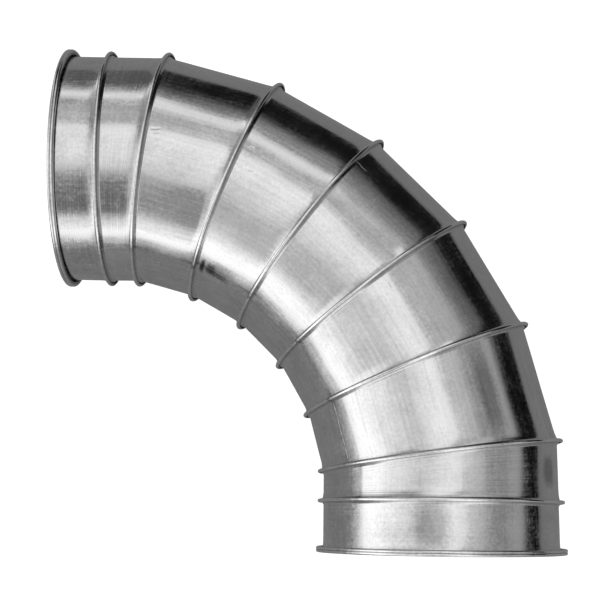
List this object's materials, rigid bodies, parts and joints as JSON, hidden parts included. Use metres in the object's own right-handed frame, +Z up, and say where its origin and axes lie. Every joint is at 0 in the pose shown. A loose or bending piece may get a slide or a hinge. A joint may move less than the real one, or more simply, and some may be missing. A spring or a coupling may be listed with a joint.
{
  "type": "duct elbow",
  "caption": "Right-angle round sheet-metal duct elbow made of mitred segments joined by standing lock seams, with a short rolled-lip collar at each mouth.",
  "frame": {"origin": "centre of the outlet mouth, on the plane of its rolled lip's face", "axes": "-Y out of the outlet mouth; -X out of the inlet mouth; +Z up, square to the plane of the bend, with the elbow lying on its side"},
  "size_m": [0.4406, 0.4456, 0.2142],
  "materials": {
    "sheet_steel": "bright galvanised sheet steel, lightly brushed round the duct, with soft reflections"
  },
  "bodies": {
    "root": {"collar_inlet": "sheet_steel", "end_gore_inlet": "sheet_steel", "gore_1": "sheet_steel", "gore_2": "sheet_steel", "gore_3": "sheet_steel", "gore_4": "sheet_steel", "gore_5": "sheet_steel", "end_gore_outlet": "sheet_steel", "collar_outlet": "sheet_steel"}
  },
  "joints": []
}
